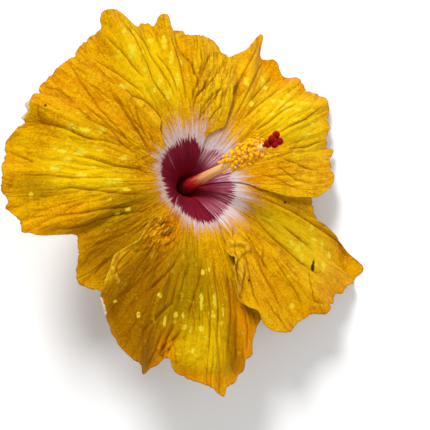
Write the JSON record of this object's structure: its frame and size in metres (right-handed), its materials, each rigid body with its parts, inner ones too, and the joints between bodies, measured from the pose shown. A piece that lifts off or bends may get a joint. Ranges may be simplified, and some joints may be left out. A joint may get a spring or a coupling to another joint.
{
  "type": "hibiscus flower",
  "caption": "Large golden hibiscus bloom lying face up: overlapping crepe petals with a crimson throat, a bent staminal column with red stigma pads, green calyx, bracts and cut stalk.",
  "frame": {"origin": "centre of the bounding box in plan, on the surface the bloom lies on", "axes": "+Z up, away from the surface; seen from above with +Y up, the bloom's throat leans and its column points 25 degrees above +X"},
  "size_m": [0.1644, 0.1749, 0.0676],
  "materials": {
    "petal": "soft matt with a faint sheen, golden yellow with paler flecks, a pale halo and a crimson eye",
    "column": "smooth and waxy, crimson at the foot fading to cream, with golden anthers",
    "stigma": "velvety dark red",
    "green": "soft matt leaf green with fine ribs"
  },
  "bodies": {
    "root": {"petal_upper_right": "petal", "petal_top": "petal", "petal_left": "petal", "petal_bottom": "petal", "petal_lower_right": "petal", "staminal_column": "column", "style_and_stigmas": "stigma", "calyx_and_stalk": "green"}
  },
  "joints": []
}
